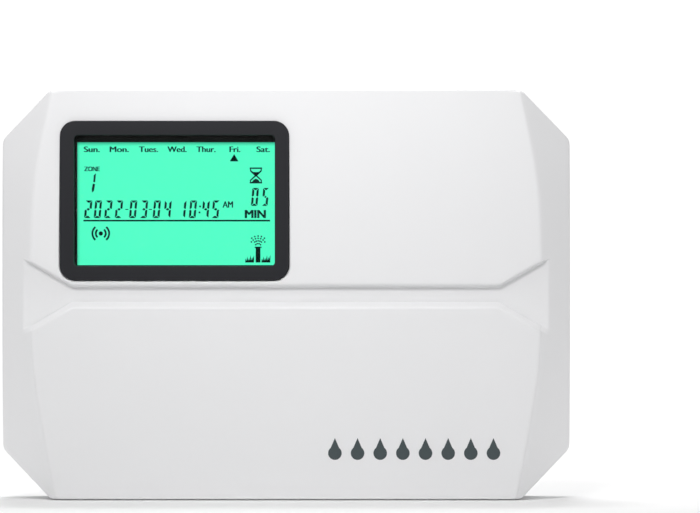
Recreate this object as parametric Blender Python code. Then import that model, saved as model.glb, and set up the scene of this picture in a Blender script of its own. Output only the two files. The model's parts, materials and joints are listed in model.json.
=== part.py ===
"""Wall-mounted irrigation controller, built as separate pieces.

Frame: metres, +Z up, the front faces -Y. The origin is the middle of the rear face,
on the wall plane. Depths named "..._DEPTH" are measured back from the front face.
"""
import math

import bmesh
import bpy
from mathutils import Matrix, Vector

MM = 0.001

# Body
BODY_WIDTH = 200 * MM
BODY_HEIGHT = 144 * MM
BODY_DEPTH = 50 * MM
CORNER_CHAMFER = 17.5 * MM
CROWN = 1.2 * MM
FACET_WIDTH = 10.3 * MM
FACE_INSET_TOP = 0.5 * MM
FACE_INSET_BOTTOM = 1.6 * MM
WALL = 2.5 * MM
REAR_DEPTH = 24 * MM
TOUCH_GAP = 0.3 * MM
SEAM_GAP = 0.35 * MM

# Display frame, placed from the upper left of the front face
BEZEL_WIDTH = 80.4 * MM
BEZEL_HEIGHT = 56 * MM
BEZEL_RADIUS = 5.3 * MM
BEZEL_RIM = 5 * MM
BEZEL_SIDE_MARGIN = 10.4 * MM
BEZEL_TOP_MARGIN = 11.1 * MM
BEZEL_PROUD = 0.4 * MM
BEZEL_LIP = 2.8 * MM
BEZEL_BACK_DEPTH = 4.5 * MM
WINDOW_SEAT = 1.4 * MM
WINDOW_THICKNESS = 1.5 * MM
LCD_OVERLAP = 2.2 * MM
LCD_THICKNESS = 2 * MM
BACKLIGHT_THICKNESS = 2.5 * MM
CARRIER_WALL = 2 * MM

# Groove across the front, below the display
BAND_BELOW_BEZEL = 2.1 * MM
BAND_DEPTH = 2.8 * MM
BAND_FLOOR_HEIGHT = 4.7 * MM
BAND_UPPER_RUN = 0.5 * MM
BAND_CHAMFER_RUN = 2.2 * MM
BAND_STRAIGHT_HALF = 75 * MM
FLARE_RISE = 0.57
FLARE_FALL = 0.58
THICK_WALL = 5.2 * MM
THICK_ABOVE_BAND = 11.5 * MM

# Door and its hinge
DOOR_THICKNESS = 2.5 * MM
DOOR_BACK_GAP = 0.4 * MM
DOOR_LEDGE = 3.6 * MM
HINGE_RADIUS = 3 * MM
HINGE_PIN_RADIUS = 0.7 * MM
PIN_CLEARANCE = 0.25 * MM
HINGE_PIN_LENGTH = 20 * MM
HINGE_OFFSET = 55 * MM
KNUCKLE_RADIUS = 1.7 * MM
KNUCKLE_WIDTH = 9.2 * MM
KNUCKLE_GAP = 0.35 * MM

# Boards and inner panels
BOARD_THICKNESS = 1.6 * MM
BOARD_BACK_Y = -30 * MM
BOARD_SIDE_MARGIN = 18 * MM
BOARD_TOP_MARGIN = 13 * MM
BOARD_BOTTOM_MARGIN = 12 * MM
DECK_THICKNESS = 2 * MM
DECK_BACK_Y = -39 * MM
DECK_TOP_GAP = 7 * MM
DECK_SIDE_MARGIN = 20 * MM

# Keys
KEY_COUNT = 6
KEY_WIDTH = 11 * MM
KEY_HEIGHT = 7 * MM
KEY_PROUD = 1.6 * MM
KEY_TRAVEL = 0.6 * MM
KEY_FLANGE = 1.2 * MM
KEY_SIDE_MARGIN = 20 * MM
SWITCH_SIZE = 6 * MM
SWITCH_BODY = 3.4 * MM
SWITCH_STEM = 1.3 * MM

# Terminals
POWER_WAYS = 6
ZONE_WAYS = 8
TERMINAL_PITCH = 7.5 * MM
TERMINAL_HEIGHT = 12 * MM
TERMINAL_DEPTH = 11 * MM
TERMINAL_END = 1.5 * MM
TERMINAL_SPACING = 5 * MM
TAB_WIDTH = 4.4 * MM
TAB_HEIGHT = 3.6 * MM
TAB_PROUD = 2.4 * MM
TAB_DEPTH = 5 * MM
TAB_TRAVEL = 1.8 * MM
WIRE_HOLE_RADIUS = 1.4 * MM

# Fasteners
POST_RADIUS = 3.6 * MM
HOUSING_POST_INSET = 9 * MM
HOUSING_POST_HEIGHT = 46 * MM
SCREW_RADIUS = 1.5 * MM
SCREW_HEAD_RADIUS = 3 * MM
SCREW_HEAD_HEIGHT = 2.2 * MM
SCREW_GRIP = 7 * MM
SCREW_BITE = 12 * MM
BOARD_POST_INSET = 6 * MM

# Wall fixing and cable entry
KEYHOLE_SPACING = 110 * MM
KEYHOLE_HEIGHT = 40 * MM
KEYHOLE_HEAD_RADIUS = 4.5 * MM
KEYHOLE_SLOT_RADIUS = 2.2 * MM
KEYHOLE_SLOT_LENGTH = 8 * MM
CABLE_SLOT_WIDTH = 50 * MM
CABLE_SLOT_DEPTH = 13 * MM
CABLE_SLOT_Y = -11 * MM
GROMMET_WALL = 2.4 * MM

# Worked out from the sizes above
HALF_WIDTH = BODY_WIDTH / 2
HALF_HEIGHT = BODY_HEIGHT / 2
FACE_HALF = HALF_WIDTH - FACET_WIDTH
BEZEL_LEFT = -FACE_HALF + BEZEL_SIDE_MARGIN
BEZEL_X = BEZEL_LEFT + BEZEL_WIDTH / 2
BEZEL_TOP = HALF_HEIGHT - BEZEL_TOP_MARGIN
BEZEL_Z = BEZEL_TOP - BEZEL_HEIGHT / 2
BEZEL_FRONT_Y = -BODY_DEPTH - BEZEL_PROUD
BEZEL_BACK_Y = -BODY_DEPTH + BEZEL_BACK_DEPTH
BAND_TOP = BEZEL_TOP - BEZEL_HEIGHT - BAND_BELOW_BEZEL
BAND_FLOOR_TOP = BAND_TOP - BAND_UPPER_RUN
BAND_FLOOR_BOTTOM = BAND_FLOOR_TOP - BAND_FLOOR_HEIGHT
BAND_BOTTOM = BAND_FLOOR_BOTTOM - BAND_CHAMFER_RUN
BAND_STEP_Z = BAND_TOP + THICK_ABOVE_BAND
BOARD_FRONT_Y = BOARD_BACK_Y - BOARD_THICKNESS
BOARD_HALF = HALF_WIDTH - BOARD_SIDE_MARGIN
BOARD_TOP = HALF_HEIGHT - BOARD_TOP_MARGIN
BOARD_BOTTOM = -HALF_HEIGHT + BOARD_BOTTOM_MARGIN
TERMINAL_BOTTOM = BOARD_BOTTOM + 2 * MM
TERMINAL_TOP = TERMINAL_BOTTOM + TERMINAL_HEIGHT
DECK_TOP = BAND_BOTTOM - DECK_TOP_GAP
DECK_BOTTOM = TERMINAL_TOP + 2 * MM
DECK_HALF = HALF_WIDTH - DECK_SIDE_MARGIN
DECK_FRONT_Y = DECK_BACK_Y - DECK_THICKNESS
KEY_Z = (DECK_TOP + DECK_BOTTOM) / 2
HOUSING_POST_X = HALF_WIDTH - HOUSING_POST_INSET
REAR_EDGE_Y = -REAR_DEPTH

PARTS = bpy.data.collections.new("irrigation_controller")
CUTTERS = bpy.data.collections.new("cutters")


# ---------------------------------------------------------------- materials
def material(name, colour, roughness, metallic=0.0):
    """A Principled material with one flat colour."""
    result = bpy.data.materials.new(name)
    result.use_nodes = True
    shader = result.node_tree.nodes["Principled BSDF"]
    shader.inputs["Base Color"].default_value = (*colour, 1.0)
    shader.inputs["Roughness"].default_value = roughness
    shader.inputs["Metallic"].default_value = metallic
    return result


def make_palette():
    """Every material of the object, by name."""
    return {
        "white_shell": material("white_shell", (0.82, 0.83, 0.84), 0.42),
        "white_door": material("white_door", (0.8, 0.81, 0.82), 0.42),
        "grey_rear": material("grey_rear", (0.74, 0.75, 0.76), 0.5),
        "dark_frame": material("dark_frame", (0.035, 0.038, 0.042), 0.4),
        "clear_window": material("clear_window", (0.9, 0.95, 0.93), 0.08),
        "lcd_green": material("lcd_green", (0.1, 0.9, 0.55), 0.25),
        "light_panel": material("light_panel", (0.85, 0.95, 0.9), 0.5),
        "inner_white": material("inner_white", (0.7, 0.71, 0.72), 0.5),
        "key_grey": material("key_grey", (0.18, 0.2, 0.22), 0.6),
        "board_green": material("board_green", (0.02, 0.18, 0.08), 0.4),
        "terminal_green": material("terminal_green", (0.04, 0.35, 0.12), 0.45),
        "tab_orange": material("tab_orange", (0.85, 0.3, 0.04), 0.45),
        "black_part": material("black_part", (0.03, 0.03, 0.03), 0.4),
        "copper_flex": material("copper_flex", (0.6, 0.3, 0.1), 0.4),
        "rubber_black": material("rubber_black", (0.03, 0.03, 0.03), 0.75),
        "steel": material("steel", (0.6, 0.6, 0.6), 0.3, 1.0),
        "nickel": material("nickel", (0.7, 0.68, 0.62), 0.25, 1.0),
    }


# ---------------------------------------------------------------- shape helpers
def add_object(name, bm, surface=None):
    """Turn a bmesh into an object: a part when it has a material, else a cutter."""
    bmesh.ops.recalc_face_normals(bm, faces=bm.faces)
    mesh = bpy.data.meshes.new(name)
    bm.to_mesh(mesh)
    bm.free()
    result = bpy.data.objects.new(name, mesh)
    if surface is None:
        CUTTERS.objects.link(result)
        result.hide_render = True
        result.display_type = "WIRE"
    else:
        PARTS.objects.link(result)
        mesh.materials.append(surface)
    return result


def box(name, x, y, z, surface=None, radius=0.0, axis="Y"):
    """A block between two limits on each axis, its edges along one axis rounded."""
    bm = bmesh.new()
    bmesh.ops.create_cube(bm, size=1.0)
    size = Vector((x[1] - x[0], y[1] - y[0], z[1] - z[0]))
    centre = Vector((x[0] + x[1], y[0] + y[1], z[0] + z[1])) / 2
    bmesh.ops.transform(bm, matrix=Matrix.Diagonal((*size, 1.0)), verts=bm.verts)
    if radius:
        along = "XYZ".index(axis)
        rounded = [e for e in bm.edges
                   if abs((e.verts[0].co - e.verts[1].co)[along]) > size[along] / 2]
        bmesh.ops.bevel(bm, geom=rounded, offset=radius, segments=4, affect="EDGES", profile=0.5)
    bmesh.ops.transform(bm, matrix=Matrix.Translation(centre), verts=bm.verts)
    return add_object(name, bm, surface)


def cylinder(name, radius, start, end, surface=None, sides=24, end_radius=None):
    """A round bar, or a cone, from one point to another."""
    start, end = Vector(start), Vector(end)
    bm = bmesh.new()
    bmesh.ops.create_cone(bm, cap_ends=True, segments=sides, radius1=radius,
                          radius2=radius if end_radius is None else end_radius,
                          depth=(end - start).length)
    turn = (end - start).to_track_quat("Z", "Y").to_matrix().to_4x4()
    bmesh.ops.transform(bm, matrix=Matrix.Translation((start + end) / 2) @ turn, verts=bm.verts)
    return add_object(name, bm, surface)


def prism(name, outline, y, surface=None):
    """A flat outline of (x, z) points, extruded between two depths."""
    bm = bmesh.new()
    face = bm.faces.new([bm.verts.new((px, y[0], pz)) for px, pz in outline])
    grown = bmesh.ops.extrude_face_region(bm, geom=[face])["geom"]
    moved = [item for item in grown if isinstance(item, bmesh.types.BMVert)]
    bmesh.ops.translate(bm, vec=(0, y[1] - y[0], 0), verts=moved)
    return add_object(name, bm, surface)


def loft(name, rings, surface=None):
    """A closed skin through rings of points, each ring with the same number of points."""
    bm = bmesh.new()
    loops = [[bm.verts.new(point) for point in ring] for ring in rings]
    count = len(loops[0])
    for low, high in zip(loops, loops[1:]):
        for i in range(count):
            j = (i + 1) % count
            bm.faces.new((low[i], low[j], high[j], high[i]))
    bm.faces.new(loops[0][::-1])
    bm.faces.new(loops[-1])
    return add_object(name, bm, surface)


def combine(target, tool, operation="DIFFERENCE"):
    """Cut a tool from a target, or join it on."""
    modifier = target.modifiers.new(operation.lower(), "BOOLEAN")
    modifier.operation = operation
    modifier.solver = "EXACT"
    modifier.object = tool


def cut(target, *tools):
    for tool in tools:
        combine(target, tool, "DIFFERENCE")


def join(target, *tools):
    for tool in tools:
        combine(target, tool, "UNION")


def set_origin(obj, point):
    """Move an object's origin to a point and leave its shape where it is."""
    obj.data.transform(Matrix.Translation(-Vector(point)))
    obj.location = point


# ---------------------------------------------------------------- outer form
def outer_half(z):
    """Half-width of the eight-sided outline at a height."""
    return HALF_WIDTH - max(0.0, abs(z) - (HALF_HEIGHT - CORNER_CHAMFER))


def soft_ramp(distance, softness):
    """Zero before the bend, a straight ramp after it, with a smooth change between."""
    return (distance + math.hypot(distance, softness)) / 2


def face_half(z):
    """Half-width of the front face: upright near the groove, narrowing to each end."""
    bend = HALF_HEIGHT * (0.53 if z > 0 else 0.35)
    inset = FACE_INSET_TOP if z > 0 else FACE_INSET_BOTTOM
    softness = HALF_HEIGHT * 0.19
    end_half = HALF_WIDTH - CORNER_CHAMFER - inset
    start = soft_ramp(-bend, softness)
    share = (soft_ramp(abs(z) - bend, softness) - start)
    share /= soft_ramp(HALF_HEIGHT - bend, softness) - start
    return FACE_HALF - (FACE_HALF - end_half) * share


def face_y(z):
    """Depth position of the gently crowned front face at a height."""
    return -BODY_DEPTH + CROWN * (z / HALF_HEIGHT) ** 2


def heights(low, high, *extra):
    """Levels of a loft: even steps, the outline's corners and any extra levels."""
    steps = 12
    corner = HALF_HEIGHT - CORNER_CHAMFER
    levels = [low + (high - low) * i / steps for i in range(steps + 1)]
    levels += [z for z in (-corner, corner, *extra) if low < z < high]
    levels.sort()
    kept = levels[:1]
    for z in levels[1:]:
        if z - kept[-1] > 0.5 * MM or z in extra:
            kept.append(z)
    return kept


def outer_ring(z, back=0.0):
    wide, narrow, front = outer_half(z), face_half(z), face_y(z)
    side = front + (wide - narrow)
    return [(-wide, back, z), (-wide, side, z), (-narrow, front, z),
            (narrow, front, z), (wide, side, z), (wide, back, z)]


def cavity_ring(z, front_wall):
    """The inside of the walls at a height, open towards the back by a little."""
    slope = math.sqrt(2)
    in_chamfer = abs(z) > HALF_HEIGHT - CORNER_CHAMFER - WALL * (slope - 1)
    wall_half = min(HALF_WIDTH - WALL, outer_half(z) - WALL * slope) if in_chamfer \
        else HALF_WIDTH - WALL
    front = face_y(z) + front_wall
    narrow = min(face_half(z) + front_wall - WALL * slope, wall_half - TOUCH_GAP)
    side = max(face_y(z) + (wall_half - face_half(z)) + WALL * slope, front + TOUCH_GAP)
    return [(-wall_half, -WALL, z), (-wall_half, side, z), (-narrow, front, z),
            (narrow, front, z), (wall_half, side, z), (wall_half, -WALL, z)]


def body_solid(name, surface):
    return loft(name, [outer_ring(z) for z in heights(-HALF_HEIGHT, HALF_HEIGHT)], surface)


def cavity_solid():
    """Everything inside the walls; the front wall is thicker from the groove down."""
    inside = HALF_HEIGHT - WALL
    chamfer_start = HALF_HEIGHT - CORNER_CHAMFER - WALL * (math.sqrt(2) - 1)
    rings = [cavity_ring(z, THICK_WALL)
             for z in heights(-inside, BAND_STEP_Z, -chamfer_start)]
    rings += [cavity_ring(z, WALL)
              for z in heights(BAND_STEP_Z + TOUCH_GAP, inside, chamfer_start)]
    return loft("cavity", rings)


# ---------------------------------------------------------------- groove and door outlines
def groove_edges(depth):
    """Heights of the groove's upper and lower walls at a depth behind the front face."""
    upper = BAND_TOP - BAND_UPPER_RUN * depth / BAND_DEPTH
    lower = BAND_BOTTOM + BAND_CHAMFER_RUN * depth / BAND_DEPTH
    return upper, lower


def groove_ring(depth):
    """The bow-tie outline of the groove at a depth, past both sides of the body."""
    upper, lower = groove_edges(depth)
    reach = HALF_WIDTH + 10 * MM
    spread = reach - BAND_STRAIGHT_HALF
    rise, fall = upper + spread * FLARE_RISE, lower - spread * FLARE_FALL
    outline = [(-reach, fall), (-BAND_STRAIGHT_HALF, lower), (BAND_STRAIGHT_HALF, lower),
               (reach, fall), (reach, rise), (BAND_STRAIGHT_HALF, upper),
               (-BAND_STRAIGHT_HALF, upper), (-reach, rise)]
    return [(px, -BODY_DEPTH + depth, pz) for px, pz in outline]


def groove_cutter(name, depth):
    return loft(name, [groove_ring(-3 * MM), groove_ring(depth)])


def above_door_block():
    """Everything above the seam between the groove's floor and the door's top edge."""
    reach = HALF_WIDTH + 20 * MM
    seam = BAND_FLOOR_BOTTOM + SEAM_GAP
    fall = seam - (reach - BAND_STRAIGHT_HALF) * FLARE_FALL
    top = HALF_HEIGHT * 2
    outline = [(-reach, fall), (-BAND_STRAIGHT_HALF, seam), (BAND_STRAIGHT_HALF, seam),
               (reach, fall), (reach, top), (-reach, top)]
    return prism("above_door", outline, (-BODY_DEPTH * 2, -BODY_DEPTH / 3))


def plate_ring(z, side_gap, front, back):
    half = face_half(max(z, -HALF_HEIGHT)) + side_gap
    return [(-half, front(z), z), (half, front(z), z), (half, back(z), z), (-half, back(z), z)]


HINGE_Z = -HALF_HEIGHT + HINGE_RADIUS
HINGE_Y = face_y(HINGE_Z) + HINGE_RADIUS


# ---------------------------------------------------------------- the two housings
def keyhole_cutters(x):
    """A round head with a narrower slot above it, through the rear wall."""
    head = (x, -WALL - 1 * MM, KEYHOLE_HEIGHT)
    top = KEYHOLE_HEIGHT + KEYHOLE_SLOT_LENGTH
    through = (-WALL - 1 * MM, 1 * MM)
    hole = cylinder("keyhole_head", KEYHOLE_HEAD_RADIUS, head, (x, 1 * MM, KEYHOLE_HEIGHT))
    slot = box("keyhole_slot", (x - KEYHOLE_SLOT_RADIUS, x + KEYHOLE_SLOT_RADIUS), through,
               (KEYHOLE_HEIGHT, top))
    end = cylinder("keyhole_end", KEYHOLE_SLOT_RADIUS, (x, through[0], top), (x, through[1], top))
    return hole, slot, end


def housing_post_places():
    return [(sx * HOUSING_POST_X, sz * HOUSING_POST_HEIGHT) for sz in (1, -1) for sx in (-1, 1)]


def board_post_places():
    x = BOARD_HALF - BOARD_POST_INSET
    return [(sx * x, z) for z in (BOARD_TOP - BOARD_POST_INSET, KEY_Z) for sx in (-1, 1)]


def make_rear_housing(surface):
    """The tray against the wall, with its posts, keyholes and cable slot."""
    housing = body_solid("rear_housing", surface)
    cut(housing, cavity_solid())
    cut(housing, box("front_half", (-HALF_WIDTH * 2, HALF_WIDTH * 2),
                     (-BODY_DEPTH * 2, REAR_EDGE_Y), (-HALF_HEIGHT * 2, HALF_HEIGHT * 2)))
    for x, z in housing_post_places():
        join(housing, cylinder("rear_post", POST_RADIUS + 1.4 * MM, (x, -WALL / 2, z),
                               (x, REAR_EDGE_Y, z)))
    for x, z in board_post_places():
        join(housing, cylinder("board_post", POST_RADIUS, (x, -WALL / 2, z),
                               (x, BOARD_BACK_Y + TOUCH_GAP, z)))
    for x, z in housing_post_places():
        grip = REAR_EDGE_Y + SCREW_GRIP
        cut(housing, cylinder("head_well", SCREW_HEAD_RADIUS + 0.4 * MM, (x, grip, z), (x, 1 * MM, z)))
        cut(housing, cylinder("shank_hole", SCREW_RADIUS + TOUCH_GAP, (x, REAR_EDGE_Y - 1 * MM, z),
                              (x, grip + 1 * MM, z)))
    for x, z in board_post_places():
        cut(housing, cylinder("board_pilot", SCREW_RADIUS + TOUCH_GAP,
                              (x, BOARD_BACK_Y, z), (x, BOARD_BACK_Y + SCREW_BITE + 1 * MM, z)))
    for side in (-1, 1):
        cut(housing, *keyhole_cutters(side * KEYHOLE_SPACING / 2))
    half = CABLE_SLOT_WIDTH / 2
    cut(housing, box("cable_slot", (-half, half),
                     (CABLE_SLOT_Y - CABLE_SLOT_DEPTH / 2, CABLE_SLOT_Y + CABLE_SLOT_DEPTH / 2),
                     (-HALF_HEIGHT - 5 * MM, -HALF_HEIGHT + WALL + 5 * MM)))
    return housing


def hinge_line(x_start, x_end):
    return (x_start, HINGE_Y, HINGE_Z), (x_end, HINGE_Y, HINGE_Z)


def make_front_shell(surface):
    """The front half: fascia, groove, side facets and the opening behind the door."""
    shell = body_solid("front_shell", surface)
    cut(shell, cavity_solid())
    cut(shell, box("rear_half", (-HALF_WIDTH * 2, HALF_WIDTH * 2),
                   (REAR_EDGE_Y - TOUCH_GAP, 1 * MM), (-HALF_HEIGHT * 2, HALF_HEIGHT * 2)))
    cut(shell, groove_cutter("groove", BAND_DEPTH))
    gap = TOUCH_GAP
    cut(shell, box("display_opening", (BEZEL_LEFT - gap, BEZEL_LEFT + BEZEL_WIDTH + gap),
                   (-BODY_DEPTH - 2 * MM, -BODY_DEPTH + 10 * MM),
                   (BEZEL_TOP - BEZEL_HEIGHT - gap, BEZEL_TOP + gap), None, BEZEL_RADIUS + gap))

    pocket_levels = heights(-HALF_HEIGHT - 2 * MM, BAND_TOP)
    pocket = loft("door_pocket", [
        plate_ring(z, SEAM_GAP, lambda _: -BODY_DEPTH - 5 * MM,
                   lambda h: face_y(h) + DOOR_THICKNESS + DOOR_BACK_GAP) for z in pocket_levels])
    opening = loft("door_opening", [
        plate_ring(z, -DOOR_LEDGE, lambda _: -BODY_DEPTH - 5 * MM,
                   lambda _: -BODY_DEPTH + 12 * MM)
        for z in heights(-HALF_HEIGHT + WALL, BAND_FLOOR_BOTTOM - DOOR_LEDGE)])
    above = above_door_block()
    cut(pocket, above)
    opening_limit = above_door_block()
    opening_limit.name = "above_opening"
    opening_limit.location.z = -DOOR_LEDGE
    cut(opening, opening_limit)
    cut(shell, pocket, opening)

    swing = HINGE_RADIUS + KNUCKLE_GAP
    half = face_half(HINGE_Z) + SEAM_GAP
    cut(shell, box("hinge_room", (-half, half), (-BODY_DEPTH - 5 * MM, HINGE_Y + swing),
                   (-HALF_HEIGHT - 5 * MM, HINGE_Z + swing)))
    # The door widens upwards, so the part just above its hinge needs room as it swings down.
    half = face_half(HINGE_Z + HINGE_RADIUS * 0.6) + SEAM_GAP
    cut(shell, box("foot_room", (-half, half), (-BODY_DEPTH - 5 * MM, HINGE_Y + swing),
                   (-HALF_HEIGHT - 5 * MM, HINGE_Z)))
    for side in (-1, 1):
        x = side * HINGE_OFFSET
        span = (x - KNUCKLE_WIDTH / 2, x + KNUCKLE_WIDTH / 2)
        arm_back = HINGE_Y + swing + WALL
        arm_top = HINGE_Z + KNUCKLE_RADIUS
        join(shell, cylinder("shell_knuckle", KNUCKLE_RADIUS, *hinge_line(*span)))
        join(shell, box("knuckle_arm", span, (HINGE_Y, arm_back), (HINGE_Z + KNUCKLE_GAP, arm_top)))
        join(shell, box("arm_foot", span, (HINGE_Y + swing, arm_back), (-HALF_HEIGHT, arm_top)))
        cut(shell, cylinder("shell_pin_hole", HINGE_PIN_RADIUS + PIN_CLEARANCE,
                            *hinge_line(span[0] - 1 * MM, span[1] + 1 * MM), sides=16))
    for x, z in housing_post_places():
        front = face_y(z) + (abs(x) + POST_RADIUS - face_half(z)) + WALL / 2
        back = REAR_EDGE_Y - TOUCH_GAP
        join(shell, cylinder("front_post", POST_RADIUS, (x, back, z), (x, front, z)))
        wall_x = math.copysign(HALF_WIDTH - WALL / 2, x)
        rib_front = face_y(z) + FACET_WIDTH + WALL * 2
        join(shell, box("post_rib", sorted((x, wall_x)), (rib_front, back), (z - 1 * MM, z + 1 * MM)))
        cut(shell, cylinder("front_pilot", SCREW_RADIUS + TOUCH_GAP, (x, REAR_EDGE_Y + 1 * MM, z),
                            (x, REAR_EDGE_Y - SCREW_BITE - 1 * MM, z)))
    return shell


# ---------------------------------------------------------------- door and hinge pins
def make_lower_door(surface):
    """The lower front panel, with a hinge barrel along its foot and two catches at its top.

    Behind its front skin the barrel is cleared for the two knuckles of the shell.
    """
    levels = heights(-HALF_HEIGHT, BAND_TOP - 1 * MM)
    door = loft("lower_door", [
        plate_ring(z, 0.0, face_y, lambda h: face_y(h) + DOOR_THICKNESS) for z in levels], surface)
    half = face_half(HINGE_Z) - 0.1 * MM
    join(door, cylinder("door_barrel", HINGE_RADIUS, *hinge_line(-half, half), sides=32))
    cut(door, groove_cutter("groove_through_door", BAND_DEPTH + 1.5 * MM))
    for side in (-1, 1):
        x = side * HINGE_OFFSET
        notch = KNUCKLE_WIDTH / 2 + KNUCKLE_GAP
        swing = HINGE_RADIUS + KNUCKLE_GAP
        cut(door, cylinder("knuckle_room", KNUCKLE_RADIUS + KNUCKLE_GAP,
                           *hinge_line(x - notch, x + notch)))
        cut(door, box("barrel_notch", (x - notch, x + notch), (HINGE_Y, HINGE_Y + swing),
                      (HINGE_Z - swing, HINGE_Z + swing)))
        pin_half = HINGE_PIN_LENGTH / 2 + 0.5 * MM
        cut(door, cylinder("door_pin_hole", HINGE_PIN_RADIUS + PIN_CLEARANCE,
                           *hinge_line(x - pin_half, x + pin_half), sides=16))
        top = BAND_BOTTOM - DOOR_LEDGE - 1.5 * MM
        join(door, box("door_catch", (x - 3 * MM, x + 3 * MM),
                       (face_y(top) + DOOR_THICKNESS / 2, face_y(top) + DOOR_THICKNESS + 4 * MM),
                       (top - 2 * MM, top)))
    set_origin(door, (0, HINGE_Y, HINGE_Z))
    return door


def make_hinge_pins(surface):
    for side, name in ((-1, "hinge_pin_left"), (1, "hinge_pin_right")):
        x = side * HINGE_OFFSET
        half = HINGE_PIN_LENGTH / 2
        cylinder(name, HINGE_PIN_RADIUS, *hinge_line(x - half, x + half), surface, sides=16)


# ---------------------------------------------------------------- display
def display_span(margin):
    """The x and z limits of the display frame, grown by a margin on every side."""
    x = (BEZEL_LEFT - margin, BEZEL_LEFT + BEZEL_WIDTH + margin)
    z = (BEZEL_TOP - BEZEL_HEIGHT - margin, BEZEL_TOP + margin)
    return x, z


def make_display(palette):
    """The frame, its window, and the lit display in its tray behind them."""
    x, z = display_span(0)
    bezel = box("display_bezel", x, (BEZEL_FRONT_Y, BEZEL_BACK_Y), z, palette["dark_frame"], BEZEL_RADIUS)
    x, z = display_span(-BEZEL_RIM)
    cut(bezel, box("bezel_opening", x, (BEZEL_FRONT_Y - 1 * MM, BEZEL_BACK_Y + 1 * MM), z, None, 1.8 * MM))
    seat = WINDOW_SEAT - BEZEL_RIM
    seat_y = BEZEL_FRONT_Y + BEZEL_LIP
    x, z = display_span(seat)
    cut(bezel, box("window_seat", x, (seat_y, BEZEL_BACK_Y + 1 * MM), z, None, 1.8 * MM))
    for cx in (BEZEL_X - BEZEL_WIDTH / 4, BEZEL_X + BEZEL_WIDTH / 4):
        clip_front = face_y(BEZEL_TOP) + WALL + TOUCH_GAP
        join(bezel, box("bezel_clip", (cx - 4 * MM, cx + 4 * MM), (clip_front, BEZEL_BACK_Y),
                        (BEZEL_TOP - 2 * MM, BEZEL_TOP + 1.6 * MM)))

    x, z = display_span(seat - TOUCH_GAP)
    front = seat_y + TOUCH_GAP
    box("display_window", x, (front, front + WINDOW_THICKNESS), z, palette["clear_window"], 1.5 * MM)

    front = BEZEL_BACK_Y + 0.5 * MM
    x, z = display_span(LCD_OVERLAP - BEZEL_RIM)
    box("lcd_glass", x, (front, front + LCD_THICKNESS), z, palette["lcd_green"])
    light_front = front + LCD_THICKNESS + TOUCH_GAP
    light_back = light_front + BACKLIGHT_THICKNESS
    x, z = display_span(LCD_OVERLAP - BEZEL_RIM - 1 * MM)
    box("lcd_backlight", x, (light_front, light_back), z, palette["light_panel"])

    tray_back = light_back + TOUCH_GAP + CARRIER_WALL
    x, z = display_span(LCD_OVERLAP - BEZEL_RIM + TOUCH_GAP + CARRIER_WALL)
    tray_front = max(BEZEL_BACK_Y, face_y(BAND_STEP_Z) + THICK_WALL) + TOUCH_GAP
    carrier = box("lcd_carrier", x, (tray_front, tray_back), z, palette["inner_white"])
    x, z = display_span(LCD_OVERLAP - BEZEL_RIM + TOUCH_GAP)
    cut(carrier, box("carrier_pocket", x, (BEZEL_BACK_Y - 1 * MM, light_back + TOUCH_GAP), z))
    cut(carrier, box("carrier_slot", (BEZEL_X - 16 * MM, BEZEL_X + 16 * MM),
                     (light_back, tray_back + 1 * MM),
                     (BEZEL_Z - 22 * MM, BEZEL_Z - 19 * MM)))
    box("lcd_ribbon", (BEZEL_X - 15 * MM, BEZEL_X + 15 * MM),
        (light_back + TOUCH_GAP, BOARD_FRONT_Y - TOUCH_GAP),
        (BEZEL_Z - 20.8 * MM, BEZEL_Z - 20.2 * MM), palette["copper_flex"])


# ---------------------------------------------------------------- keys behind the door
def key_places():
    """Middles of the keys, spread evenly across the deck."""
    reach = DECK_HALF - KEY_SIDE_MARGIN
    return [-reach + 2 * reach * i / (KEY_COUNT - 1) for i in range(KEY_COUNT)]


def make_control_deck(surface):
    """The inner panel behind the door, with a hole for each key and a skirt at its foot."""
    deck = box("control_deck", (-DECK_HALF, DECK_HALF), (DECK_FRONT_Y, DECK_BACK_Y),
               (DECK_BOTTOM, DECK_TOP), surface)
    for name, z in (("deck_skirt", (DECK_BOTTOM, DECK_BOTTOM + 1.6 * MM)),
                    ("deck_top_wall", (DECK_TOP - 1.6 * MM, DECK_TOP))):
        join(deck, box(name, (-DECK_HALF, DECK_HALF),
                       (DECK_BACK_Y - DECK_THICKNESS / 2, BOARD_FRONT_Y - TOUCH_GAP), z))
    for x in key_places():
        gap = TOUCH_GAP
        cut(deck, box("key_hole", (x - KEY_WIDTH / 2 - gap, x + KEY_WIDTH / 2 + gap),
                      (DECK_FRONT_Y - 1 * MM, DECK_BACK_Y + 0.5 * MM),
                      (KEY_Z - KEY_HEIGHT / 2 - gap, KEY_Z + KEY_HEIGHT / 2 + gap), None, 2 * MM))
    return deck


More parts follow.
